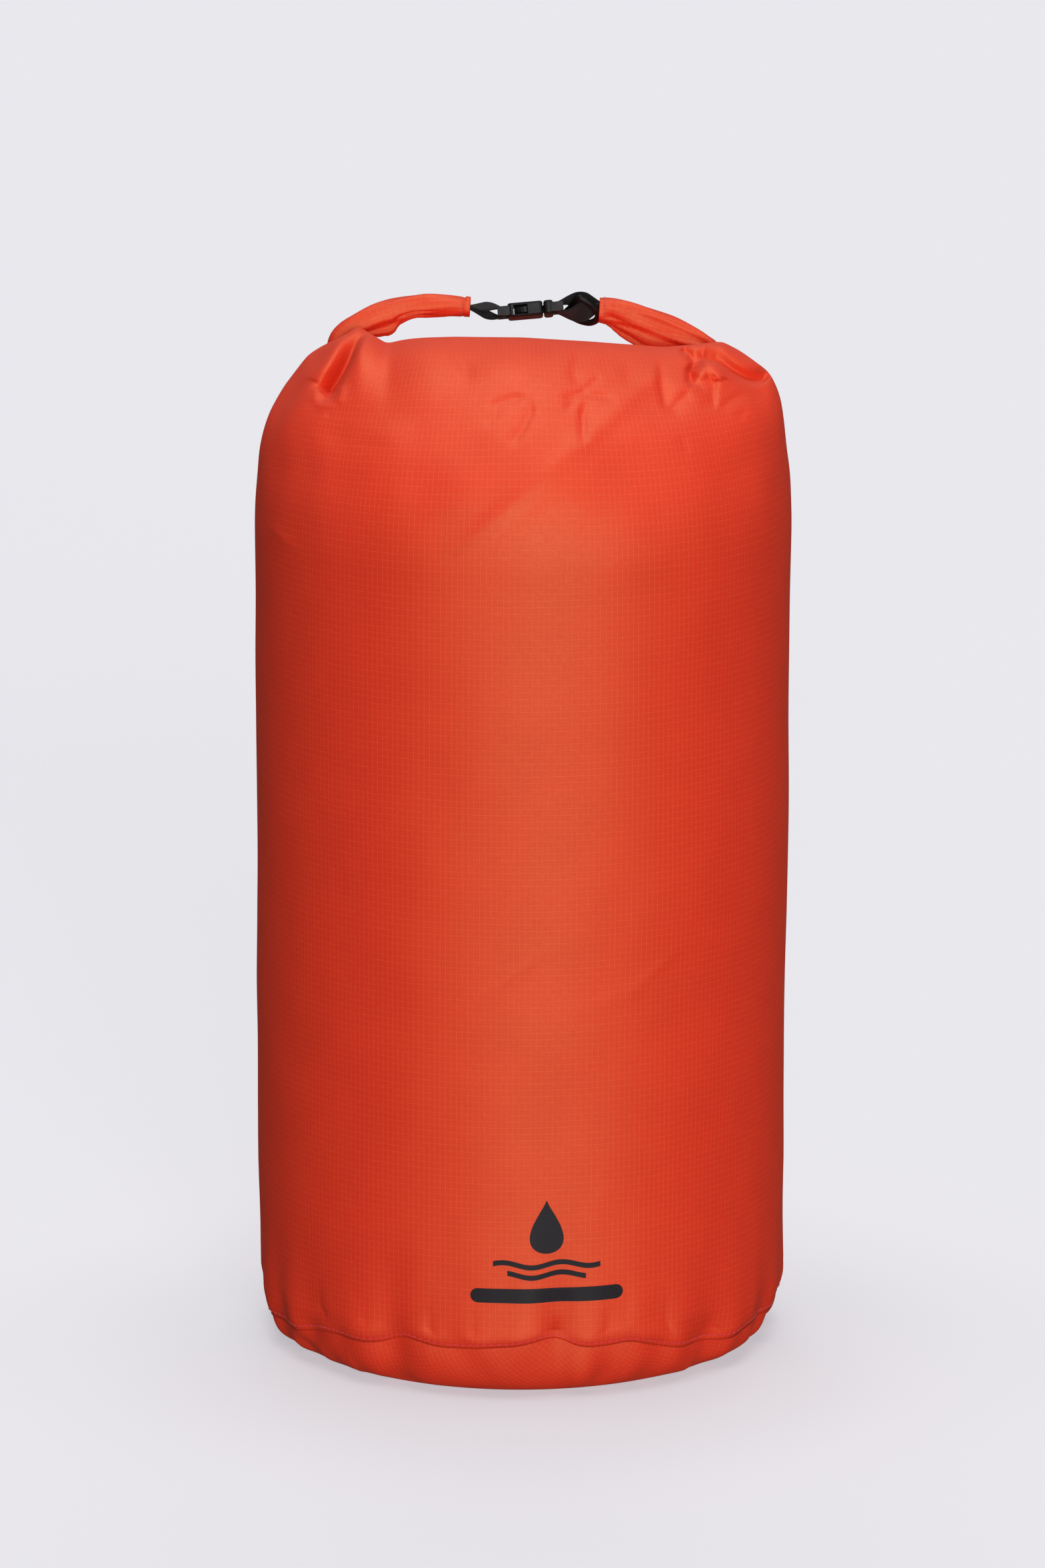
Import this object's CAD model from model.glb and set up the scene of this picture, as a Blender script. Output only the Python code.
"""Roll-top dry bag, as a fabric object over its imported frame. Metres, +Z up, the front of the bag faces -Y."""

import math

import bmesh
import bpy
import numpy as np
from mathutils import Matrix, Vector
from mathutils.bvhtree import BVHTree


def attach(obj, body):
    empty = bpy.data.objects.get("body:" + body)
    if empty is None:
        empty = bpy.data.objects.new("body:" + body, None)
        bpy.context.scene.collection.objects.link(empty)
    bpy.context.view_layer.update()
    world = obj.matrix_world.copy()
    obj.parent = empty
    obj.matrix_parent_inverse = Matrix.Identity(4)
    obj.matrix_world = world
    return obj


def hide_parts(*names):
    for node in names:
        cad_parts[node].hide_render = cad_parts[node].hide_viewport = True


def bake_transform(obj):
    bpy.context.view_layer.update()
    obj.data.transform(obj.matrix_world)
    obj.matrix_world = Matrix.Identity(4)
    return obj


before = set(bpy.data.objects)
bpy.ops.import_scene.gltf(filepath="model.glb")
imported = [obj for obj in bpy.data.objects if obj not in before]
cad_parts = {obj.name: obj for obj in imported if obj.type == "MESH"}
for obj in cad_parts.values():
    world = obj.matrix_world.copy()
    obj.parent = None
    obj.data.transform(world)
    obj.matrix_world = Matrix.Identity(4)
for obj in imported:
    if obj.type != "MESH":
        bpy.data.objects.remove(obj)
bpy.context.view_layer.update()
MM = 0.001

# ---- Dimensions, in millimetres ----
HALF_WIDTH = 151.0
HALF_DEPTH = 144.0
SHOULDER_Z = 470.0  # where the wall ends and the top begins
FOOT = 131.0  # radius of the flat of the base
RIM_BULGE = 149.0  # how far out the rim between foot and wall is drawn
RIM_HEIGHT = 40.0
WALL_TILT = 0.004  # the bag stands a touch to the left at its foot
CLOSURE_Y = 30.0  # middle of the rolled mouth, and the way it leans
ROLL_Z = 557.0
LEAN = math.radians(16)
COLUMNS = 440
RIM_ROWS, WALL_ROWS, TOP_ROWS = 20, 62, 142
EYE = np.array([0.0, -3881.0, 1268.0])  # where the front elevation is drawn from
AIM = np.array([0.0, 0.0, 300.0])
LENS = 160.952
SENSOR_HEIGHT = 36.0
SHIFT_UP = 0.02274
GRID_U = 3.1  # ripstop spacing, round the bag and up it
GRID_V = 3.65
STITCH_PITCH = 4.1
STITCH_LENGTH = 3.0
TAPE_DEPTHS = (0.9, 1.25)  # the two faces of the seam tape, inside the cloth
WEBBING_WIDTH = 15
STRAP_INSET = 6.0  # how far a strap runs into the end of the roll
BUCKLE_CENTRE = np.array([4.5, 31.7])
BUCKLE_TILT = math.radians(5)
BUCKLE_BAR = 16.5  # from its centre to each bar
MARK_X = 13.5
PRINT_LIFT = 0.16


# ---- Small maths ----
def smooth(a, b, x):
    t = np.clip((x - a) / (b - a), 0, 1)
    return t * t * (3 - 2 * t)


def bump(x, centre, width):
    return np.exp(-(((x - centre) / width) ** 2))


def unit(rows):
    return rows / np.linalg.norm(rows, axis=-1, keepdims=True)


def run_of(line):
    """How far along the line each of its points is."""
    return np.concatenate([[0], np.cumsum(np.linalg.norm(np.diff(line, axis=0), axis=1))])


def at_length(where, run, line):
    return np.array([np.interp(where, run, line[:, k]) for k in range(3)])


def noise(points, scale, seed):
    """Smooth value noise in -1..1, the same on every run."""
    p = points / scale + seed * 17.31
    cell = np.floor(p).astype(np.int64)
    f = p - cell
    f = f * f * (3 - 2 * f)
    total = np.zeros(p.shape[:-1])
    for corner in range(8):
        o = np.array([corner & 1, (corner >> 1) & 1, (corner >> 2) & 1])
        c = cell + o
        h = (c[..., 0] * 73856093) ^ (c[..., 1] * 19349663) ^ (c[..., 2] * 83492791) ^ (seed * 2654435)
        h = (h ^ (h >> 13)) * 1274126177
        value = ((h ^ (h >> 16)) & 0xFFFF) / 32767.5 - 1
        weight = np.prod(np.where(o == 1, f, 1 - f), axis=-1)
        total += value * weight
    return total


def seen(points):
    """The front elevation from the eye: how far right, and how high, each point is drawn."""
    toward = (AIM - EYE) / np.linalg.norm(AIM - EYE)
    upward = np.array([0, -toward[2], toward[1]])
    upward = upward if upward[2] > 0 else -upward
    rel = points - EYE
    depth = rel @ toward
    scale = np.linalg.norm(AIM - EYE) / depth
    return points[..., 0] * scale, AIM[2] + ((points - AIM) @ upward) * scale


def along_line(x, z, line):
    """For each place: the share of the way along a drawn line of its nearest point, the distance to it, and the
    side, from -1 on its left to 1 on its right, turning smoothly round the line's ends."""
    line = np.asarray(line, float)
    steps = np.linalg.norm(np.diff(line, axis=0), axis=1)
    nearest = np.full(x.shape, 1e9)
    share = np.zeros(x.shape)
    side = np.zeros(x.shape)
    done = 0.0
    for (ax, az), (bx, bz), length in zip(line[:-1], line[1:], steps):
        dx, dz = (bx - ax) / length, (bz - az) / length
        s = np.clip((x - ax) * dx + (z - az) * dz, 0, length)
        px, pz = x - ax - s * dx, z - az - s * dz
        distance = np.hypot(px, pz)
        near = distance < nearest
        nearest = np.where(near, distance, nearest)
        share = np.where(near, (done + s) / steps.sum(), share)
        side = np.where(near, (px * dz - pz * dx) / np.maximum(distance, 1e-6), side)
        done += length
    return share, nearest, side


def spline(points, count):
    """A Catmull-Rom line through rows of numbers."""
    p = np.asarray(points, float)
    p = np.vstack([2 * p[0] - p[1], p, 2 * p[-1] - p[-2]])
    t = np.linspace(0, len(p) - 3 - 1e-9, count)
    i = t.astype(int)
    f = (t - i)[:, None]
    a, b, c, d = p[i], p[i + 1], p[i + 2], p[i + 3]
    return 0.5 * (2 * b + (c - a) * f + (2 * a - 5 * b + 4 * c - d) * f**2 + (3 * b - a - 3 * c + d) * f**3)


def closure(points):
    """Closure frame (along the roll, across it, height over it) to the row frame."""
    x, y, z = points[..., 0], points[..., 1], points[..., 2]
    c, s = math.cos(LEAN), math.sin(LEAN)
    return np.stack([x, CLOSURE_Y + y * c + z * s, ROLL_Z - y * s + z * c], axis=-1)


# ---- Mesh helpers ----
def put(name, vertices, faces, material, uv=None):
    mesh = bpy.data.meshes.new(name)
    mesh.from_pydata((np.asarray(vertices) * MM).tolist(), [], faces)
    if uv is not None:
        layer = mesh.uv_layers.new(name="Cloth")
        layer.data.foreach_set("uv", np.asarray(uv, np.float32).ravel())
    mesh.polygons.foreach_set("use_smooth", [True] * len(mesh.polygons))
    mesh.materials.append(material)
    mesh.update()
    obj = bpy.data.objects.new(name, mesh)
    bpy.context.scene.collection.objects.link(obj)
    return obj


def grid(name, points, uv, material, wrap=False, cap_start=False, cap_end=False):
    """A mesh through rows of points. uv is a row-by-column map; wrap joins the last column to the first."""
    rows, cols = points.shape[:2]
    faces, corners = [], []
    last = cols if wrap else cols - 1
    for r in range(rows - 1):
        for c in range(last):
            d = (c + 1) % cols
            faces.append((r * cols + c, r * cols + d, (r + 1) * cols + d, (r + 1) * cols + c))
            corners += [uv[r, c], uv[r, c + 1], uv[r + 1, c + 1], uv[r + 1, c]]
    for wanted, row, flip in ((cap_start, 0, True), (cap_end, rows - 1, False)):
        if wanted:
            ring = [row * cols + c for c in range(cols)]
            faces.append(tuple(ring[::-1] if flip else ring))
            corners += [uv[row, c] for c in range(cols)]
    return put(name, points.reshape(-1, 3), faces, material, corners)


def normals_of(points):
    """Outward unit normals of a grid of points, rows up and columns anticlockwise from above."""
    du = np.roll(points, -1, axis=1) - np.roll(points, 1, axis=1)
    dv = np.gradient(points, axis=0)
    n = np.cross(du, dv)
    return n / np.maximum(np.linalg.norm(n, axis=-1, keepdims=True), 1e-9)


# ---- Materials ----
class Nodes:
    """A short way to write a node tree."""

    def __init__(self, name):
        self.material = bpy.data.materials.new(name)
        self.material.use_nodes = True
        self.tree = self.material.node_tree
        self.shader = self.tree.nodes["Principled BSDF"]

    def new(self, kind, **settings):
        node = self.tree.nodes.new(kind)
        for key, value in settings.items():
            setattr(node, key, value)
        return node

    def link(self, out, into):
        self.tree.links.new(out, into)

    def math(self, operation, a, b=None, c=None, clamp=False):
        node = self.new("ShaderNodeMath", operation=operation, use_clamp=clamp)
        for socket, value in zip(node.inputs, (a, b, c)):
            if value is None:
                continue
            if isinstance(value, (int, float)):
                socket.default_value = value
            else:
                self.link(value, socket)
        return node.outputs[0]

    def noise(self, vector, scale, detail=3.0, roughness=0.5, distortion=0.0):
        node = self.new("ShaderNodeTexNoise")
        self.link(vector, node.inputs["Vector"])
        node.inputs["Scale"].default_value = scale
        node.inputs["Detail"].default_value = detail
        node.inputs["Roughness"].default_value = roughness
        node.inputs["Distortion"].default_value = distortion
        return node.outputs[0]

    def ramp(self, value, low, high, a=0.0, b=1.0):
        node = self.new("ShaderNodeMapRange", interpolation_type="SMOOTHSTEP")
        self.link(value, node.inputs["Value"])
        node.inputs["From Min"].default_value = low
        node.inputs["From Max"].default_value = high
        node.inputs["To Min"].default_value = a
        node.inputs["To Max"].default_value = b
        return node.outputs[0]

    def mix(self, factor, a, b):
        node = self.new("ShaderNodeMix", data_type="RGBA")
        self.link(factor, node.inputs[0])
        for socket, value in ((node.inputs[6], a), (node.inputs[7], b)):
            if isinstance(value, tuple):
                socket.default_value = (*value, 1)
            else:
                self.link(value, socket)
        return node.outputs[2]

    def bump(self, height, distance, strength=1.0, normal=None):
        node = self.new("ShaderNodeBump")
        self.link(height, node.inputs["Height"])
        node.inputs["Distance"].default_value = distance
        node.inputs["Strength"].default_value = strength
        if normal is not None:
            self.link(normal, node.inputs["Normal"])
        return node.outputs[0]

    def set(self, **sockets):
        for key, value in sockets.items():
            self.shader.inputs[key.replace("_", " ")].default_value = value


def stripes(n, coordinate, spacing, half_width):
    """1 on thin lines this far apart, in the coordinate's own unit."""
    ping = n.math("PINGPONG", coordinate, spacing / 2)
    return n.ramp(ping, half_width * 0.4, half_width * 1.5, 1.0, 0.0)


def ripstop(name, turn=0.0, deep=1.0):
    """Coated ripstop: a fine weave with a raised reinforcement grid, small slubs and faint creases."""
    n = Nodes(name)
    uv = n.new("ShaderNodeUVMap", uv_map="Cloth").outputs[0]
    turned = n.new("ShaderNodeMapping")
    turned.inputs["Rotation"].default_value = (0, 0, turn)
    n.link(uv, turned.inputs["Vector"])
    place = turned.outputs[0]
    parts = n.new("ShaderNodeSeparateXYZ")
    n.link(place, parts.inputs[0])
    u, v = parts.outputs[0], parts.outputs[1]
    up = stripes(n, u, GRID_U, 0.2)
    across = stripes(n, v, GRID_V, 0.2)
    lines = n.math("MAXIMUM", up, n.math("MULTIPLY", across, 0.8))
    # threads a little uneven along their length
    drawn_out = []
    for scale in ((3.2, 0.16, 1), (0.16, 3.2, 1)):
        stretch = n.new("ShaderNodeMapping")
        stretch.inputs["Scale"].default_value = scale
        n.link(place, stretch.inputs["Vector"])
        drawn_out.append(n.noise(stretch.outputs[0], 1.0, 2, 0.6))
    threads = n.math("ADD", *drawn_out)
    slubs = n.ramp(threads, 1.12, 1.32, 0.0, 1.0)
    patches = n.noise(place, 0.03, 3, 0.5)
    light, dark = (0.68 * deep, 0.019 * deep, 0.008), (0.65 * deep, 0.017 * deep, 0.007)
    base = n.mix(n.ramp(patches, 0.3, 0.7), light, dark)
    cloth = n.mix(n.math("MULTIPLY", slubs, 0.35), base, (0.42 * deep, 0.012, 0.007))
    broken = n.ramp(n.noise(place, 0.45, 2, 0.6), 0.3, 0.62, 0.35, 1.0)
    lined = n.mix(n.math("MULTIPLY", n.math("MULTIPLY", lines, broken), 0.2), cloth, (0.98, 0.16, 0.05))
    n.link(lined, n.shader.inputs["Base Color"])
    wave_u, wave_v = (n.math("SINE", n.math("MULTIPLY", way, 15.7)) for way in (u, v))
    fine = n.math("MULTIPLY", n.math("ADD", wave_u, wave_v), 0.08)
    relief = n.math("ADD", n.math("MULTIPLY", lines, 0.5), fine)
    relief = n.math("ADD", relief, n.math("MULTIPLY", threads, 0.35))
    normal = n.bump(relief, 0.00012, 0.55)
    crumple = n.noise(place, 0.02, 4, 0.55, 0.6)
    normal = n.bump(crumple, 0.0022, 0.12, normal)
    n.link(normal, n.shader.inputs["Normal"])
    n.link(n.ramp(threads, 0.7, 1.3, 0.56, 0.66), n.shader.inputs["Roughness"])
    n.set(Specular_IOR_Level=0.85, Sheen_Weight=0.004, Sheen_Roughness=0.4)
    n.shader.inputs["Specular Tint"].default_value = (1.0, 0.95, 0.42, 1)
    n.shader.inputs["Sheen Tint"].default_value = (1.0, 0.62, 0.55, 1)
    return n.material


def object_place(n):
    return n.new("ShaderNodeTexCoord").outputs["Object"]


def woven(name):
    """Plain-woven black webbing, from its own map in millimetres."""
    n = Nodes(name)
    uv = n.new("ShaderNodeUVMap", uv_map="Cloth").outputs[0]
    parts = n.new("ShaderNodeSeparateXYZ")
    n.link(uv, parts.inputs[0])
    u, v = parts.outputs[0], parts.outputs[1]
    a = n.math("SINE", n.math("MULTIPLY", n.math("ADD", u, v), 5.2))
    b = n.math("SINE", n.math("MULTIPLY", n.math("SUBTRACT", u, v), 5.2))
    ribs = n.math("MULTIPLY", n.math("ADD", n.math("MULTIPLY", a, b), 1.0), 0.5)
    fuzz = n.noise(uv, 6.0, 3, 0.7)
    tone = n.mix(n.math("MULTIPLY", ribs, fuzz), (0.004, 0.004, 0.005), (0.02, 0.02, 0.023))
    n.link(tone, n.shader.inputs["Base Color"])
    n.link(n.bump(n.math("ADD", ribs, n.math("MULTIPLY", fuzz, 0.3)), 0.0003, 0.8), n.shader.inputs["Normal"])
    n.link(n.ramp(fuzz, 0.3, 0.7, 0.62, 0.85), n.shader.inputs["Roughness"])
    n.set(Sheen_Weight=0.05, Specular_IOR_Level=0.2)
    return n.material


def moulded(name, dark=0.012):
    """Moulded black plastic with a fine spark texture and faint handling wear."""
    n = Nodes(name)
    place = object_place(n)
    grain = n.noise(place, 2600, 2, 0.6)
    wear = n.noise(place, 160, 4, 0.6)
    tone = n.mix(n.ramp(wear, 0.45, 0.75), (dark, dark, dark * 1.1), (dark * 2.4, dark * 2.4, dark * 2.6))
    n.link(tone, n.shader.inputs["Base Color"])
    n.link(n.bump(grain, 0.00004, 0.35), n.shader.inputs["Normal"])
    n.link(n.ramp(wear, 0.3, 0.75, 0.34, 0.5), n.shader.inputs["Roughness"])
    n.set(Specular_IOR_Level=0.16)
    return n.material


def thread(name, colour):
    n = Nodes(name)
    place = object_place(n)
    twist = n.new("ShaderNodeTexWave", bands_direction="DIAGONAL")
    n.link(place, twist.inputs["Vector"])
    twist.inputs["Scale"].default_value = 900
    tone = n.mix(twist.outputs[1], tuple(c * 0.7 for c in colour), colour)
    n.link(tone, n.shader.inputs["Base Color"])
    n.link(n.bump(twist.outputs[1], 0.00008, 0.6), n.shader.inputs["Normal"])
    n.set(Roughness=0.6, Sheen_Weight=0.2)
    return n.material


def ink(name):
    n = Nodes(name)
    place = object_place(n)
    patch = n.noise(place, 900, 3, 0.6)
    tone = n.mix(patch, (0.01, 0.008, 0.01), (0.02, 0.015, 0.019))
    n.link(tone, n.shader.inputs["Base Color"])
    n.link(n.bump(patch, 0.00005, 0.5), n.shader.inputs["Normal"])
    n.link(n.ramp(patch, 0.3, 0.7, 0.5, 0.62), n.shader.inputs["Roughness"])
    n.set(Specular_IOR_Level=0.2)
    return n.material


def tape(name):
    n = Nodes(name)
    place = object_place(n)
    patch = n.noise(place, 300, 3, 0.5)
    n.link(n.mix(patch, (0.55, 0.5, 0.45), (0.68, 0.64, 0.58)), n.shader.inputs["Base Color"])
    n.link(n.bump(patch, 0.0001, 0.4), n.shader.inputs["Normal"])
    n.link(n.ramp(patch, 0.3, 0.7, 0.3, 0.45), n.shader.inputs["Roughness"])
    return n.material


BODY_CLOTH = ripstop("ripstop_body")
BASE_CLOTH = ripstop("ripstop_base", turn=math.radians(38))
ROLL_CLOTH = ripstop("ripstop_roll", deep=0.94)
WEBBING = woven("webbing")
PLASTIC = moulded("buckle_plastic", 0.004)
RING_PLASTIC = moulded("ring_plastic", 0.005)
THREAD = thread("seam_thread", (0.78, 0.025, 0.055))
CLOTH_THREAD = thread("hem_thread", (0.5, 0.045, 0.02))
INK = ink("print_ink")
TAPE = tape("seam_tape")
STRIP = moulded("stiffener_strip", 0.02)


# ---- The bag's surface ----
def rim(t):
    """The rounded rim between the flat foot (t = 0) and the side wall (t = 1): radius and height."""
    radius = (1 - t) ** 2 * FOOT + 2 * t * (1 - t) * RIM_BULGE + t**2 * HALF_WIDTH
    return radius, RIM_HEIGHT * t**2


# height of the base seam round the bag, by half turns from the right-hand side
SEAM = [
    (0.5, 21), (0.62, 19), (0.75, 23), (0.9, 20), (1.0, 21), (1.08, 18.5), (1.17, 19.4), (1.24, 26), (1.315, 27.6),
    (1.357, 33), (1.404, 30), (1.449, 31), (1.49, 33), (1.538, 36.4), (1.572, 31.6), (1.607, 31), (1.64, 31.4),
    (1.694, 23.8), (1.778, 19.3), (1.842, 21.3), (1.92, 19), (2.0, 21), (2.1, 23.5), (2.25, 19.5), (2.38, 22.5),
    (2.5, 21),
]


def seam_height(angle):
    """The base seam is pulled up and down by its gathers."""
    line = spline(SEAM, 400)
    return np.interp(((angle / math.pi - 0.5) % 2) + 0.5, line[:, 0], line[:, 1])


def place_on_wall(angle, radius, z):
    swell = 1 + 0.004 * bump(z, 330, 150)
    tilt = (z - 300) * WALL_TILT
    x = radius * swell * np.cos(angle) + tilt
    y = radius * swell * HALF_DEPTH / HALF_WIDTH * np.sin(angle)
    return np.stack([x, y, z + 0 * x], axis=-1)


def top_point(angle, t):
    """From the shoulder (t = 0) over the crown and down behind it to the neck under the roll (t = 1)."""
    c, s = np.cos(angle), np.sin(angle)
    side = np.abs(c) ** 3
    front = np.where(s < 0, (s * s) ** 0.55, 0)
    back = np.where(s > 0, s * s, 0)
    start = place_on_wall(angle, HALF_WIDTH, SHOULDER_Z + 0 * angle)
    right = np.clip(c, 0, 1)
    neck = closure(np.stack([103 * c, 3.5 * s, -4.6 + 15 * np.abs(c) ** 5], axis=-1))
    rise = start + np.stack([0 * c, 0 * c, 58 * side + 92 * front + 70 * back + 14 * right**4], axis=-1)
    crown = neck + np.stack(
        [32 * side * np.sign(c), -62 * front + 58 * back, 20 * side + 57 * front + 2 * back], axis=-1
    )
    t = t[..., None]
    return (1 - t) ** 3 * start + 3 * t * (1 - t) ** 2 * rise + 3 * t**2 * (1 - t) * crown + t**3 * neck


def columns():
    """Angles round the bag from the back seam, closer together at the front and closest at the dog-ears."""
    fine = np.linspace(math.pi / 2, 2.5 * math.pi, 4001)
    crowd = 1 + 0.7 * np.clip(-np.sin(fine), 0, 1)
    for centre in (1.17, 1.83):
        crowd += 1.3 * bump(fine, centre * math.pi, 0.4)
    total = np.concatenate([[0], np.cumsum(crowd[1:])])
    return np.interp(np.arange(COLUMNS) / COLUMNS * total[-1], total, fine)


def body_rows(angle):
    """The smooth bag, by rows from the base seam up to the neck."""
    t_seam = np.sqrt(seam_height(angle) / RIM_HEIGHT)
    rows = []
    for share in np.linspace(0, 1, RIM_ROWS):
        t = t_seam + (1 - t_seam) * share
        radius, z = rim(t)
        rows.append(place_on_wall(angle, radius, z))
    for share in np.linspace(0, 1, WALL_ROWS)[1:]:
        rise = share + 0.12 * math.sin(2 * math.pi * share) * (share < 0.5)
        z = RIM_HEIGHT + (SHOULDER_Z - RIM_HEIGHT) * rise
        rows.append(place_on_wall(angle, HALF_WIDTH, z + 0 * angle))
    for t in np.linspace(0, 1, TOP_ROWS)[1:]:
        rows.append(top_point(angle, t + 0 * angle))
    return np.array(rows)


def seam_pull(points, angle, above):
    """Gathers that radiate up from the base seam: positive is outward."""
    reach = np.exp(-np.clip(above, 0, None) / 20.0)
    wave = 1.7 * np.sin(11 * angle + 1.3) + 1.5 * np.sin(19 * angle + 0.4) + 1.2 * np.sin(29 * angle + 2.2)
    wave = wave + 1.6 * noise(points, 13, 21)
    pinch = -1.3 * np.exp(-np.clip(above, 0, None) / 2.6)
    return reach * wave * (1 - 0.35 * np.exp(-above / 2.5)) + pinch


def crease(x, z, line, depth, before, after, ends=(0.15, 0.2)):
    """A valley along a drawn line: how deep, and how wide on its left and on its right."""
    s, distance, side = along_line(x, z, line)
    fade = smooth(-0.02, ends[0], s) * smooth(1.02, 1 - ends[1], s)
    width = after + (before - after) * smooth(1, -1, side)
    return -depth * fade * np.exp(-((distance / width) ** 1.5))


def ridge(x, z, line, height, offset, width, ends=(0.15, 0.2)):
    """A roll of cloth beside a drawn line, offset to its right, or to its left if negative."""
    s, distance, side = along_line(x, z, line)
    return height * smooth(-0.05, ends[0], s) * smooth(1.05, 1 - ends[1], s) * bump(distance * side, offset, width)


# lines of the front elevation, right and up, in millimetres
LEFT_CREASE = [(-112, 541), (-108, 545), (-103.5, 551), (-97, 559), (-90.5, 566.5), (-84, 573), (-80, 577)]
RIGHT_CREASE = [(98, 559.5), (103, 564), (110, 563.5), (122, 559.5), (133, 555.5), (141.5, 551.5)]
SMALL_FOLD = [(89, 567.5), (94.5, 565.5), (97.5, 561), (95, 556.5), (95.5, 551), (98, 546)]
# the top edge of the bag as the front elevation draws it
OUTLINE = [
    (-150, 515), (-148.3, 524.3), (-145.6, 531.9), (-141.8, 539.5), (-137.2, 547.1), (-134.6, 550.9), (-131.5, 554.7),
    (-128.5, 558.5), (-125.5, 562.3), (-122, 566.1), (-114, 571), (-103, 576.3), (-93.5, 581.5), (-87, 578),
    (-81, 574.5), (-77.4, 572),
    (-71, 573.4), (-64.7, 574.4), (-55, 575.2), (-40, 575.6), (0, 575.2), (40, 572.8), (80, 569.8),
    (90, 570.5), (100, 571.6), (114, 572.8), (122.5, 569), (129.6, 564.4), (139.8, 557.1), (142.8, 553.2),
    (145.9, 547.1), (149, 536), (150.5, 528),
]


def top_folds(points):
    """Dog-ears, creases and dents of the top, as a push toward the eye of the front elevation."""
    x, z = seen(points)
    facing = smooth(480, 505, points[..., 2])
    push = np.zeros(x.shape)

    # left dog-ear: a round horn over a deep crease that closes in a rounded pocket
    push += crease(x, z, LEFT_CREASE, 32.0, 7.0, 1.3, (0.1, 0.5))
    push += ridge(x, z, LEFT_CREASE, 7.0, -13.0, 7.0, (0.3, 0.05))
    push += ridge(x, z, LEFT_CREASE, 1.2, 5.0, 8.0, (0.2, 0.3))
    around = np.hypot(x + 111, z - 543.5)
    push += 1.8 * bump(around, 7.5, 3.0) * smooth(552, 542, z)
    push += crease(x, z, [(-112, 530), (-107, 534), (-103, 537)], 0.8, 3.0, 1.2)
    push += crease(x, z, [(-79, 572.5), (-74, 568.6), (-69.5, 569), (-65.5, 573.5)], 6.5, 3.4, 1.4, (0.25, 0.3))

    # right dog-ear: a roll of cloth along the shoulder over its crease
    push += crease(x, z, RIGHT_CREASE, 20.0, 5.0, 1.3, (0.2, 0.12))
    push += ridge(x, z, RIGHT_CREASE, 5.0, -10.0, 6.0, (0.1, 0.25))
    push += ridge(x, z, RIGHT_CREASE, 2.0, 5.0, 7.0, (0.15, 0.4))

    # the small fold beside it, and the V below
    push += crease(x, z, SMALL_FOLD, 15.0, 4.0, 1.3, (0.15, 0.3))
    push += ridge(x, z, SMALL_FOLD, 3.5, -8.0, 5.0, (0.1, 0.3))
    push += crease(x, z, [(98, 546), (104, 553), (110, 560)], 3.0, 3.0, 5.0, (0.2, 0.5))
    for line, depth, before, after in (
        ([(78, 562), (79, 548), (83, 532)], 3.0, 5.5, 1.6),
        ([(83, 532), (90, 540), (97, 546)], 1.8, 2.2, 5.0),
        ([(110, 557), (109, 545), (109.5, 532)], 3.2, 2.0, 5.5),
        ([(110, 532), (120, 541), (129, 548)], 1.6, 2.4, 5.0),
        ([(-45, 568), (-36, 556), (-28, 545)], 2.0, 6.0, 3.0),
        ([(-20, 535), (-8, 539), (3, 540)], 1.6, 1.4, 3.0),
        ([(-8, 512), (0, 522), (5, 532), (3, 542)], 1.7, 4.0, 1.8),
        ([(-22, 526), (-12, 533)], 1.0, 2.0, 2.0),
        ([(36, 540), (34, 530), (34, 512)], 2.4, 3.0, 1.4),
        ([(22, 538), (33, 542), (42, 548)], 1.6, 2.4, 1.4),
        ([(24, 533), (33, 541)], 1.5, 1.6, 1.6),
        ([(31, 542), (46, 541), (54, 538)], 1.5, 1.4, 2.4),
        ([(38, 546), (45, 551)], 1.3, 1.4, 2.0),
        ([(32, 566), (29, 552), (33, 544)], 1.7, 5.0, 3.0),
        ([(12, 572), (9, 560)], 1.6, 5.0, 4.0),
        ([(60, 560), (60, 545)], 0.9, 6.0, 4.0),
        ([(-118, 522), (-98, 515), (-70, 512)], 0.8, 6.0, 8.0),
        ([(128, 535), (122, 527)], 1.0, 2.0, 3.0),
        ([(90, 520), (95, 508)], 0.7, 2.0, 3.0),
    ):
        push += crease(x, z, line, depth, before, after, (0.25, 0.3))
    return push * facing


def fit_outline(points):
    """Settle the top so that its outline from the front runs as the drawn one."""
    x, z = seen(points)
    bins = np.linspace(-150, 150, 151)
    crest = np.full(bins.shape, -1e9)
    index = np.clip(np.rint((x - bins[0]) / 2).astype(int), 0, 150)
    upper = (points[..., 2] > 500) & (np.abs(x) < 151)
    np.maximum.at(crest, index[upper], z[upper])
    crest = np.convolve(np.pad(crest, 2, "edge"), [0.1, 0.2, 0.4, 0.2, 0.1], "valid")
    wanted = np.interp(bins, *np.array(OUTLINE, float).T)
    wanted = np.convolve(np.pad(wanted, 2, "edge"), [0.1, 0.2, 0.4, 0.2, 0.1], "valid")
    lift = np.interp(x, bins, wanted - crest) * smooth(152, 147, np.abs(x))
    weight = smooth(np.interp(x, bins, crest) - 42, np.interp(x, bins, crest) - 4, z)
    return lift * weight * smooth(505, 530, points[..., 2])


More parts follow.
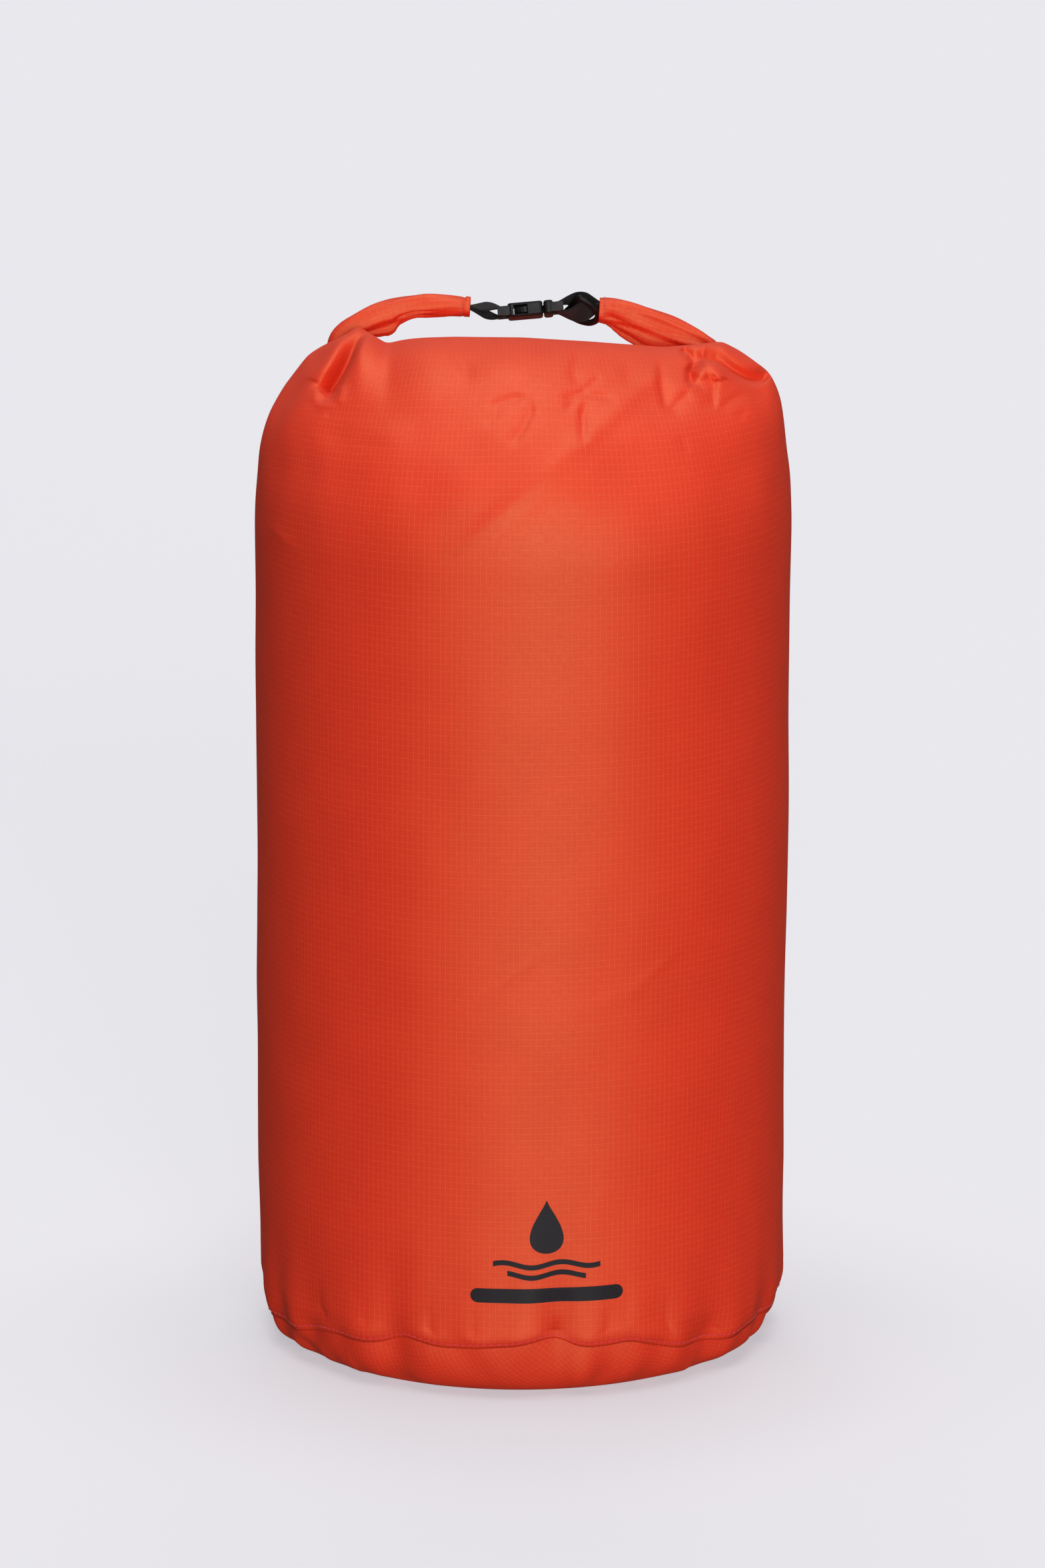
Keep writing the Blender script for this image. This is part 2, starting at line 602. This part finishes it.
def body_creases(points):
    """Long faint creases where the cloth was folded for storage."""
    x, z = seen(points)
    front = smooth(40, 0, points[..., 1])
    push = np.zeros(x.shape)
    for line, depth, width in (
        ([(-150, 210), (-110, 262), (-60, 282)], 0.5, 2.0),
        ([(-20, 296), (-66, 276)], 0.4, 1.6),
        ([(40, 240), (-10, 208), (-50, 178), (-80, 160)], 0.5, 1.8),
        ([(150, 128), (70, 112), (0, 100), (-70, 92)], 0.55, 2.2),
        ([(100, 236), (60, 200), (20, 188)], 0.45, 2.0),
        ([(-148, 150), (-110, 140), (-70, 142)], 0.6, 2.4),
        ([(-140, 176), (-80, 152)], 0.4, 1.8),
        ([(96, 96), (40, 78), (-6, 70)], 0.5, 2.0),
        ([(-146, 470), (-126, 452)], 0.7, 3.0),
        ([(-50, 4), (-56, 14), (-62, 24)], -2.2, 3.0),
        ([(-88, 8), (-92, 22), (-98, 34)], -1.4, 4.0),
        ([(-30, 3), (-26, 14)], -1.2, 3.5),
        ([(-2, 15), (9, 6)], -1.4, 2.0),
        ([(22, 10), (28, 22)], -1.2, 4.0),
        ([(44, 6), (56, 16), (63, 27)], -1.7, 2.5),
        ([(76, 28), (81, 18), (87, 2)], -2.0, 3.0),
        ([(104, 13), (118, 6)], -1.3, 2.5),
        ([(-120, 30), (-112, 14)], -1.3, 3.0),
    ):
        s, distance, _ = along_line(x, z, line)
        push += depth * np.exp(-distance / width) * np.sin(math.pi * np.clip(s, 0.02, 0.98))
    return push * front


def body_surface(angle):
    """The bag with its folds, gathers and creases on it."""
    base = body_rows(angle)
    toward_eye = unit(EYE - base)
    # the folds are the front half's, and go no further back than the neck and the far side leave room for
    room = np.maximum(20 + 1.1 * np.clip(560 - base[..., 2], 0, None) - base[..., 1], 0.01)
    push = top_folds(base) * smooth(0.12, -0.1, np.sin(angle))
    push = np.where(push < 0, -room * (1 - np.exp(np.minimum(push, 0) / room)), push)
    folds = toward_eye * push[..., None]
    above = base[..., 2] - seam_height(angle)[None, :]
    out = body_creases(base) + seam_pull(base, angle[None, :], above)
    upper = smooth(40, 90, above) * smooth(1, 12, np.hypot(base[..., 1] - CLOSURE_Y, (base[..., 2] - ROLL_Z) * 2))
    out += upper * (1.1 * noise(base, 95, 3) + 0.5 * noise(base, 38, 5))
    out += 0.9 * smooth(480, 520, base[..., 2]) * noise(base, 22, 8) * upper
    settled = smooth(0.0, 9.0, np.linalg.norm(base - base[-1][None], axis=-1))
    level = base.copy()
    level[..., 2] += fit_outline(base) * settled
    folded = level + normals_of(level) * (out * settled)[..., None] + folds * settled[..., None]
    folded[..., 2] += fit_outline(folded) * settled
    return folded


def cloth_map(points, angle):
    """Millimetres round the bag and up it, for the weave."""
    step = np.linalg.norm(np.diff(points, axis=0), axis=-1)
    v = np.vstack([np.zeros(points.shape[1]), np.cumsum(step, axis=0)])
    v = v.mean(axis=1, keepdims=True) + 0 * v
    turn = (angle - angle[0]) / (2 * math.pi)
    u = np.append(turn, 1.0) * 2 * math.pi * math.sqrt((HALF_WIDTH**2 + HALF_DEPTH**2) / 2)
    v = np.hstack([v, v[:, :1]])
    return np.stack([np.broadcast_to(u, v.shape), v], axis=-1)


def make_body():
    angle = columns()
    base = body_rows(angle)
    points = body_surface(angle)
    # the seam's turned edge: a short lip below the stitches, folded in
    n = normals_of(points)
    lip = np.array([points[0] + n[0] * out + [0, 0, up] for out, up in ((-2.6, 0.6), (-0.9, -1.4), (0.15, -1.5))])
    uv = cloth_map(np.vstack([lip, base]), angle)
    obj = grid("bag_body", np.vstack([lip, points]), uv, BODY_CLOTH, wrap=True)
    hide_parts("body_panel")
    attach(obj, "bag")
    return angle, points


def make_base(angle, body_points):
    """The base panel: flat where it rests, bulging in soft folds up to the seam."""
    n = normals_of(body_points)[0]
    edge = body_points[0] - n * 0.35 + np.array([0, 0, -0.5])
    foot = place_on_wall(angle, FOOT, 0 * angle)
    fold = 1.6 * np.sin(13 * angle + 0.8) + 1.4 * np.sin(23 * angle + 2.0) + 1.0 * np.sin(37 * angle)
    fold = fold - 2.4 * np.abs(np.sin(8.5 * angle + 0.7)) ** 0.5 + 1.4
    rows = [foot * share * [1, 1, 0] for share in (0.0, 0.25, 0.5, 0.7, 0.85, 0.95)]
    for t in np.linspace(0, 1, 30):
        bulge = foot * (1 - t) ** 2 + 2 * t * (1 - t) * (edge * [0.99, 0.99, 0.2]) + edge * t**2
        puff = fold * np.sin(math.pi * t) * 0.8 * (0.6 + 0.4 * np.sin(5 * angle + 4 * t))
        out = bulge + n * puff[:, None]
        out[:, 2] = np.maximum(out[:, 2], 0.0)
        rows.append(out)
    points = np.array(rows)
    uv = points[..., :2] + points[..., 2:3] * np.stack([np.cos(angle), np.sin(angle)], axis=-1)
    uv = np.concatenate([uv, uv[:, :1]], axis=1)
    obj = grid("bag_base", points, uv, BASE_CLOTH, wrap=True)
    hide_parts("base_panel")
    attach(obj, "bag")


def capsule(a, b, outward, half_width, half_height, vertices, faces):
    """One stitch, added to the lists: a small flattened pill from a to b, lying on the cloth."""
    way = b - a
    length = np.linalg.norm(way)
    way = way / length
    side = np.cross(outward, way)
    start = len(vertices)
    rings = ((0.0, 0.35, -0.5), (0.12, 0.85, 0.3), (0.5, 1.0, 0.75), (0.88, 0.85, 0.3), (1.0, 0.35, -0.5))
    count = 8
    for share, size, height in rings:
        centre = a + way * length * share + outward * half_height * height
        for k in range(count):
            turn = 2 * math.pi * k / count
            across = side * half_width * size * math.cos(turn)
            vertices.append(centre + across + outward * half_height * size * math.sin(turn))
    for r in range(len(rings) - 1):
        for k in range(count):
            j = (k + 1) % count
            row = start + r * count
            faces.append((row + k, row + j, row + count + j, row + count + k))
    faces.append(tuple(start + k for k in range(count))[::-1])
    last = start + (len(rings) - 1) * count
    faces.append(tuple(last + k for k in range(count)))


def walk(line, pitch):
    """Evenly spaced places on a closed line of points, as indices with fractions."""
    step = np.linalg.norm(np.roll(line, -1, axis=0) - line, axis=1)
    total = step.sum()
    where = np.concatenate([[0], np.cumsum(step)])
    count = int(total / pitch)
    marks = np.arange(count) * total / count
    return np.interp(marks, where, np.arange(len(line) + 1)), total / count


def at(line, index):
    i = int(index) % len(line)
    f = index - int(index)
    return line[i] * (1 - f) + line[(i + 1) % len(line)] * f


def make_stitches(points):
    """Lock stitch round the bag just above the turned edge of the base seam."""
    out = normals_of(points)[2]
    line = points[2] + out * 0.12
    marks, pitch = walk(line, STITCH_PITCH)
    vertices, faces = [], []
    share = STITCH_LENGTH / pitch
    for i, mark in enumerate(marks):
        following = marks[(i + 1) % len(marks)] if i + 1 < len(marks) else len(line)
        a, b = at(line, mark), at(line, mark + (following - mark) * share)
        capsule(a, b, unit(at(out, mark)), 0.28, 0.26, vertices, faces)
    obj = put("base_stitches", np.array(vertices), faces, THREAD)
    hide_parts("base_seam_thread")
    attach(obj, "bag")


def make_tapes(points):
    """Heat-sealed tape on the inside, over the base seam and up the back seam."""
    n = normals_of(points)

    def band(name, rows, over, replaced):
        outer, inner = ((points - n * depth)[np.ix_(rows, over)] for depth in TAPE_DEPTHS)
        shape = np.vstack([outer, inner[::-1], outer[:1]])
        uv = np.zeros((len(shape), len(over) + 1, 2))
        obj = grid(name, shape, uv, TAPE, wrap=len(over) == points.shape[1])
        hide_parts(replaced)
        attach(obj, "bag")

    band("base_tape_band", np.arange(1, 15), np.arange(points.shape[1]), "base_seam_tape")
    near = np.arange(-4, 5) % points.shape[1]
    band("back_tape_band", np.arange(16, len(points) - 12), near, "back_seam_tape")


def make_back_seam(points):
    """The upright back seam: a turned lap standing on the cloth with a row of stitches."""
    n = normals_of(points)
    rows = np.arange(4, len(points) - 10)
    line, out = points[rows, 0], n[rows, 0]
    across = np.cross(unit(np.gradient(line, axis=0)), out)
    profile = [(-5.5, 0.05), (-5.3, 0.6), (-4.6, 0.85), (0, 0.75), (4.6, 0.6), (5.4, 0.1), (5.4, -0.5), (-5.5, -0.5)]
    shape = np.stack([line + across * a + out * b for a, b in profile], axis=1)
    length = run_of(line)
    girth = np.array([a for a, _ in profile] + [profile[0][0]], float)
    uv = np.stack(np.broadcast_arrays(girth[None, :], length[:, None]), axis=-1)
    obj = grid("back_seam_lap", shape, uv, BODY_CLOTH, wrap=True, cap_start=True, cap_end=True)
    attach(obj, "bag")
    vertices, faces = [], []
    row = line - across * 3.6 + out * 0.86
    for start in np.arange(0, length[-1] - STITCH_LENGTH, STITCH_PITCH):
        ends = [at_length(d, length, row) for d in (start, start + STITCH_LENGTH)]
        capsule(*ends, unit(at_length(start, length, out)), 0.26, 0.24, vertices, faces)
    stitches = put("back_seam_stitches", np.array(vertices), faces, CLOTH_THREAD)
    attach(stitches, "bag")


# ---- The roll ----
def swept(name, sections, count, around, material, shape, side):
    """A pressed roll of cloth through sections of (x, height, outer half, inner half, half width) in the closure
    frame. Past the band's own thickness the inner half narrows to a gathered web. side is 1 where the outer face
    lies left of the way the sections run."""
    line = spline(sections, count)
    way = unit(np.gradient(line[:, :2], axis=0))
    turn = np.linspace(0, 2 * math.pi, around, endpoint=False)
    s, a = np.meshgrid(np.linspace(0, 1, count), turn, indexing="ij")
    sine, cosine = np.sin(a), np.cos(a)
    up = np.sign(sine) * np.abs(sine) ** 0.8
    out = np.sign(cosine) * np.abs(cosine) ** 0.75
    half = np.where(sine > 0, line[:, 2:3], line[:, 3:4])
    push = shape(s, a)
    normal = np.stack([-way[:, 1], way[:, 0]], axis=1) * side
    reach = up * np.maximum(half + push, 0.3)
    web = smooth(6.2, 8.0, -reach)
    wide = np.maximum(line[:, 4:5] + push * 0.8, 0.3) * (1 - 0.45 * web)
    points = np.stack(
        [line[:, 0:1] + normal[:, 0:1] * reach, out * wide, line[:, 1:2] + normal[:, 1:2] * reach], axis=-1
    )
    length = run_of(line[:, :2])
    uv = np.stack(np.broadcast_arrays(np.append(turn, 2 * math.pi)[None, :] * 8.5, length[:, None]), axis=-1)
    cloth = grid(name, closure(points), uv, material, wrap=True, cap_start=True, cap_end=True)
    return cloth, points, line


def stitch_row(name, ring, outward, body, replaced, pitch=2.6, share=0.7, size=0.24):
    """Stitches along a line of closure points."""
    vertices, faces = [], []
    world = closure(ring)
    run = run_of(world)
    for start in np.arange(0, run[-1] - pitch * share, pitch):
        ends = [at_length(d, run, world) for d in (start, start + pitch * share)]
        capsule(*ends, unit(at_length(start, run, outward)), size, size, vertices, faces)
    obj = put(name, np.array(vertices), faces, CLOTH_THREAD)
    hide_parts(replaced)
    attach(obj, body)


def end_stitches(name, points, row, body, replaced):
    """The line that closes the hem at the end of the roll, once round it."""
    ring = points[row]
    centre = ring.mean(axis=0)
    outward = unit(closure(ring) - closure(centre[None]))
    lifted = ring + unit(ring - centre) * 0.1
    stitch_row(name, np.vstack([lifted, lifted[:1]]), np.vstack([outward, outward[:1]]), body, replaced)


def strip(name, line, body, replaced):
    """The stiffener inside the roll."""
    ribbon(name, line, 12, 1.0, body, replaced, STRIP)


def fold_lines(a, s, count, drift, phase):
    """Sharp-edged gathers that run along the roll: 0 on a fold, 1 in the valley beside it."""
    turn = (count * a / (2 * math.pi) + drift * s + phase) % 1.0
    return np.where(turn < 0.78, turn / 0.78, (1 - turn) / 0.22)


def make_roll():
    """The rolled mouth: its middle behind the crown, and the two ends that turn up to the buckle."""

    def middle_shape(s, a):
        edge = (a - 2.2) % (2 * math.pi)
        lap = 0.6 * smooth(0.0, 0.12, edge) * smooth(1.2, 0.12, edge)
        return lap + 0.35 * np.sin(9 * a + 14 * s) * np.sin(5 * s + a)

    sections = [(x, 0, 4.2, 4.2, 9) for x in (90, 60, 30, 0, -30, -60, -86)]
    middle, _, line = swept("roll_middle_cloth", sections, 60, 48, ROLL_CLOTH, middle_shape, -1)
    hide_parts("roll_middle")
    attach(middle, "bag")
    strip("stiffener_middle_strip", line[2:-2, :2], "bag", "stiffener_middle")

    def left_shape(s, a):
        under = smooth(-0.35, -0.6, np.sin(a)) * smooth(0.34, 0.42, s) * smooth(0.86, 0.72, s)
        gathers = under * fold_lines(a, s, 9, 1.6, 0.2)
        flap = 0.7 * smooth(0.968, 0.972, s) * smooth(0.2, 0.6, np.sin(a))
        hem = -0.5 * np.exp(-(((s - 0.955) / 0.006) ** 2))
        crease = 0.8 * np.exp(-(((a - 0.9 + 0.8 * s) / 0.16) ** 2)) * bump(s, 0.78, 0.1)
        soft = 0.3 * np.sin(5 * a + 20 * s) * smooth(0.3, 0.5, s)
        return -2.4 * gathers + hem + flap - crease + soft

    left_sections = [
        (-84, 0, 4.2, 4.2, 9.0), (-92, 0.7, 4.3, 4.3, 9.0), (-100, 3.2, 4.6, 4.6, 9.0), (-105.4, 8.4, 4.9, 4.9, 9.0),
        (-104.6, 15.0, 5.0, 5.4, 9.0), (-100, 20.5, 5.0, 7.0, 8.9), (-92.5, 25.2, 5.1, 10.5, 8.9),
        (-84, 29.2, 5.4, 13.4, 8.8), (-76.5, 31.4, 5.8, 13.8, 8.7), (-70.5, 32.6, 6.1, 9.6, 8.6),
        (-62, 33.6, 6.6, 6.8, 8.6), (-54, 34.2, 6.8, 6.8, 8.6), (-44, 34.2, 6.0, 6.2, 8.6), (-36, 33.9, 5.4, 5.6, 8.6),
        (-29.6, 33.5, 5.0, 5.2, 8.5),
    ]
    left, points, line = swept("roll_left_cloth", left_sections, 150, 96, ROLL_CLOTH, left_shape, 1)
    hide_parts("roll_bend_left", "roll_end_left")
    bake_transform(left)
    end_stitches("left_hem_stitches", points, 142, "left_end", "bartack_left")
    strip("stiffener_left_strip", line[92:136, :2], "left_end", "stiffener_left")

    def right_shape(s, a):
        web = smooth(1.0, 0.88, s) * smooth(0.3, 0.42, s)
        folds = fold_lines(a, s, 8, -1.5, 0.35)
        return -2.8 * web * folds * smooth(0.75, -0.1, np.sin(a)) + 0.3 * np.sin(5 * a + 20 * s)

    right_sections = [
        (88, 0, 4.2, 4.2, 9.0), (95, 0.5, 4.3, 4.3, 9.0), (102, 1.8, 4.6, 4.6, 9.0), (107.5, 4.4, 4.8, 5.0, 9.0),
        (107, 9.0, 5.0, 6.5, 9.4), (102, 13.2, 5.2, 9.5, 9.8), (94, 17.2, 5.8, 13.5, 10.0), (84, 21.4, 6.6, 17.0, 10.2),
        (74, 25.2, 6.6, 18.0, 10.2), (65.5, 28.2, 6.6, 16.0, 10.0), (57, 30.6, 6.4, 13.0, 9.6),
        (49.5, 32.0, 6.4, 9.6, 9.2), (43.4, 32.4, 6.4, 7.4, 8.9),
    ]
    right, points, line = swept("roll_right_cloth", right_sections, 150, 110, ROLL_CLOTH, right_shape, -1)
    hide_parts("roll_bend_right", "roll_end_right")
    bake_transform(right)
    end_stitches("right_hem_stitches", points, 143, "right_end", "bartack_right")
    strip("stiffener_right_strip", line[96:136, :2], "right_end", "stiffener_right")


# ---- Webbing, ring and buckle ----
def ribbon(name, line, width, thick, body, replaced, material=WEBBING, twist=0.0):
    """A flat strap carried along an X-height line of the closure frame, turned about its own way by twist."""
    way = unit(np.gradient(line, axis=0))
    normal = np.stack([-way[:, 1], way[:, 0]], axis=1)
    ring = []
    for side in (1, -1):
        for k in np.linspace(-1, 1, 17)[::side]:
            edge = max(0.25, 1 - k**6) if abs(k) > 0.9 else 1.0
            ring.append((side * thick / 2 * edge, k * width / 2))
    ring = np.array(ring)
    turn = np.zeros(len(line)) + twist
    points = np.stack(
        [
            line[:, 0:1] + normal[:, 0:1] * ring[:, 0],
            np.broadcast_to(ring[:, 1], (len(line), len(ring))),
            line[:, 1:2] + normal[:, 1:2] * ring[:, 0],
        ],
        axis=-1,
    )
    middle = line[:, 1:2].mean()
    c, s = np.cos(turn)[:, None], np.sin(turn)[:, None]
    y, z = points[..., 1].copy(), points[..., 2] - middle
    points[..., 1], points[..., 2] = y * c - z * s, middle + y * s + z * c
    length = run_of(line)
    girth = run_of(np.vstack([ring, ring[:1]]))
    uv = np.stack(np.broadcast_arrays(girth[None, :], length[:, None]), axis=-1)
    obj = grid(name, closure(points), uv, material, wrap=True, cap_start=True, cap_end=True)
    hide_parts(replaced)
    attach(obj, body)


def loop_line(bar, end, halves):
    """The strap's centre line: out of the roll's end along the top, round the bar and back below."""
    way = unit(end - bar)
    up = np.array([-way[1], way[0]])
    if up[1] < 0:
        up = -up
    reach = np.linalg.norm(end - bar) + STRAP_INSET
    top = [(reach, 0.62), *halves[::-1]]
    radius = 2.5  # the bar's own, and half the strap's thickness
    arc = [(radius * math.cos(a), radius * math.sin(a)) for a in np.linspace(math.pi / 2, 1.5 * math.pi, 9)]
    low = [(d, -h) for d, h in halves] + [(reach, -0.62)]
    flat = spline(top + arc + low, 120)
    return bar + flat[:, :1] * way + flat[:, 1:] * up


def make_webbing():
    bar = BUCKLE_BAR * np.array([math.cos(BUCKLE_TILT), math.sin(BUCKLE_TILT)])
    left_bar, right_bar = BUCKLE_CENTRE - bar, BUCKLE_CENTRE + bar
    left = loop_line(left_bar, np.array([-30, 33.4]), [(4, 2.8), (8.5, 2.35), (12.5, 1.3), (18, 0.65)])
    twist = math.radians(24) * bump(left[:, 0], left_bar[0] - 9.0, 8.0)
    ribbon("webbing_left_strap", left, WEBBING_WIDTH, 1.4, "left_end", "webbing_left", twist=twist)
    right = loop_line(right_bar, np.array([44, 34.2]), [(4.5, 4.0), (9.5, 4.6), (14.5, 4.0), (19, 2.0), (22.8, 0.65)])
    twist = -math.radians(42) * bump(right[:, 0], right_bar[0] + 13, 7.5)
    ribbon("webbing_right_strap", right, WEBBING_WIDTH, 1.3, "right_end", "webbing_right", twist=twist)


def make_ring():
    """The D-ring: a round bar through the strap and a bow, moulded in one."""
    radius, half, depth = 1.95, 17.8 / 2 + 1.8, 15.6
    bow = [(0, -half), (4, -half), (9, -half * 0.93), (13.4, -half * 0.66), (depth - 0.4, -half * 0.3), (depth, 0),
           (depth - 0.4, half * 0.3), (13.4, half * 0.66), (9, half * 0.93), (4, half), (0, half)]
    line = spline(bow, 90)
    corner = [(-0.2, half - 0.6), (-0.45, half - 1.8), (-0.3, half - 4)]
    back = corner + [(0, 0)] + [(x, -y) for x, y in corner[::-1]]
    line = np.vstack([line, spline([(0, half)] + back + [(0, -half)], 60)[1:-1]])
    way = unit(np.roll(line, -1, axis=0) - np.roll(line, 1, axis=0))
    normal = np.stack([-way[:, 1], way[:, 0]], axis=1)
    a = np.linspace(0, 2 * math.pi, 20, endpoint=False)
    level = [line[:, k : k + 1] + normal[:, k : k + 1] * radius * np.cos(a) for k in (0, 1)]
    flat = np.stack([*level, np.broadcast_to(radius * 0.92 * np.sin(a), (len(line), len(a)))], axis=-1)
    flat = np.vstack([flat, flat[:1]])
    drop, yaw, roll = math.radians(24), math.radians(21), math.radians(-20)
    matrix = np.array(Matrix.Rotation(roll, 3, "X") @ Matrix.Rotation(yaw, 3, "Z") @ Matrix.Rotation(drop, 3, "Y"))
    world = closure(flat @ matrix.T + [28.6, 0, 34.4])
    uv = np.zeros((len(flat), len(a) + 1, 2))
    obj = grid("ring_bow", world, uv, RING_PLASTIC, wrap=True)
    weld = obj.modifiers.new("Weld", "WELD")
    weld.merge_threshold = 1e-5
    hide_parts("d_ring")
    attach(obj, "ring")


# ---- The printed mark ----
def make_mark(points):
    """A generic mark, a drop over two waves with a plain bar below, printed low on the front."""
    cols = points.shape[1]
    faces = [
        (r * cols + c, r * cols + (c + 1) % cols, (r + 1) * cols + (c + 1) % cols, (r + 1) * cols + c)
        for r in range(10, 60)
        for c in range(cols)
    ]
    tree = BVHTree.FromPolygons([Vector(p) for p in points.reshape(-1, 3)], faces)

    drop = []
    for a in np.linspace(0, 2 * math.pi, 64, endpoint=False):
        width = 13.5 * math.sin(a) * math.sin(a / 2) ** 1.5
        drop.append((MARK_X + width, 101.5 + 15.5 * math.cos(a)))
    waves = []
    for height, half_length in ((81.0, 30), (75.0, 22)):
        across = np.linspace(MARK_X - half_length, MARK_X + half_length, 80)
        top = [(x, height + 1.5 * math.sin((x - MARK_X) / 5.2)) for x in across]
        waves.append(top + [(x, z - 3.0) for x, z in top][::-1])
    bar = []
    for cx, start, stop in ((52, -math.pi / 2, math.pi / 2), (-25, math.pi / 2, 1.5 * math.pi)):
        bar += [(cx + 4.2 * math.cos(a), 61.5 + 4.2 * math.sin(a)) for a in np.linspace(start, stop, 14)]
    vertices, faces = [], []
    for outline in (drop, *waves, bar):
        mesh = bmesh.new()
        face = mesh.faces.new([mesh.verts.new((x, 0, z)) for x, z in outline])
        bmesh.ops.triangulate(mesh, faces=[face])
        for _ in range(7):
            long_edges = [e for e in mesh.edges if e.calc_length() > 2.4]
            if not long_edges:
                break
            bmesh.ops.subdivide_edges(mesh, edges=long_edges, cuts=1)
            bmesh.ops.triangulate(mesh, faces=mesh.faces[:])
        start = len(vertices)
        mesh.verts.index_update()
        for vert in mesh.verts:
            x, _, z = vert.co
            hit, normal, _, _ = tree.ray_cast(Vector((x, -400, z)), Vector((0, 1, 0)))
            if normal.y > 0:
                normal = -normal
            vertices.append(np.array(hit) + np.array(normal) * PRINT_LIFT)
        faces += [tuple(start + v.index for v in f.verts) for f in mesh.faces]
        mesh.free()
    obj = put("front_mark", np.array(vertices), faces, INK)
    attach(obj, "bag")


# ---- Carried-over pieces ----
def finish_nodes():
    """The buckle keeps its CAD shapes and gets a better material."""
    for name in ("buckle_female", "buckle_male_frame", "buckle_prong_front", "buckle_prong_rear"):
        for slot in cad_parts[name].material_slots:
            slot.material = PLASTIC


# ---- Stage ----
def sun(name, azimuth, elevation, strength, angle, glossy=True):
    """Even light from this far round to the right of the front, and this high."""
    data = bpy.data.lights.new(name, "SUN")
    data.energy = strength
    data.angle = math.radians(angle)
    light = bpy.data.objects.new(name, data)
    a, e = math.radians(azimuth), math.radians(elevation)
    place = Vector((math.sin(a) * math.cos(e), -math.cos(a) * math.cos(e), math.sin(e))) * 5
    light.location = place
    light.rotation_euler = place.to_track_quat("Z", "Y").to_euler()
    light.visible_glossy = glossy
    bpy.context.scene.collection.objects.link(light)


def make_stage():
    n = Nodes("studio_floor")
    tone = n.mix(n.noise(object_place(n), 3.0, 2, 0.5), (0.35, 0.35, 0.358), (0.354, 0.354, 0.362))
    n.link(tone, n.shader.inputs["Base Color"])
    n.set(Roughness=0.9, Specular_IOR_Level=0.0, Emission_Strength=0.425)
    n.shader.inputs["Emission Color"].default_value = (0.99, 0.985, 1.062, 1)
    size = 40000.0
    points = np.array([[(-size, y, -0.05), (size, y, -0.05)] for y in (-size, size)])
    floor = grid("studio_sweep", points, np.zeros((2, 2, 2)), n.material)
    floor.visible_diffuse = False
    floor.visible_glossy = False
    floor.visible_shadow = False

    world = bpy.data.worlds.new("studio")
    bpy.context.scene.world = world
    world.use_nodes = True
    background = world.node_tree.nodes["Background"]
    background.inputs[0].default_value = (1, 0.98, 0.99, 1)
    background.inputs[1].default_value = 0.06

    sun("overhead", 0, 92, 2.15, 40)
    sun("front", 8, 10, 2.6, 30)
    sun("floor_bounce", 4, -30, 0.45, 60, glossy=False)
    sun("left", -105, 15, 0.45, 40, glossy=False)
    sun("right", 105, 15, 0.45, 40, glossy=False)
    sun("back", 180, 20, 1.3, 60, glossy=False)

    camera = bpy.data.cameras.new("front")
    camera.sensor_fit = "VERTICAL"
    camera.sensor_height = SENSOR_HEIGHT
    camera.lens = LENS
    camera.shift_y = SHIFT_UP
    camera.clip_end = 120
    eye = bpy.data.objects.new("front", camera)
    eye.location = EYE * MM
    eye.rotation_euler = (Vector(AIM) - Vector(EYE)).to_track_quat("-Z", "Y").to_euler()
    bpy.context.scene.collection.objects.link(eye)
    bpy.context.scene.camera = eye
    bpy.context.scene.view_settings.view_transform = "Standard"


make_stage()
ring_angle, body_points = make_body()
make_base(ring_angle, body_points)
make_stitches(body_points)
make_tapes(body_points)
make_back_seam(body_points)
make_mark(body_points)
make_roll()
make_webbing()
make_ring()
finish_nodes()
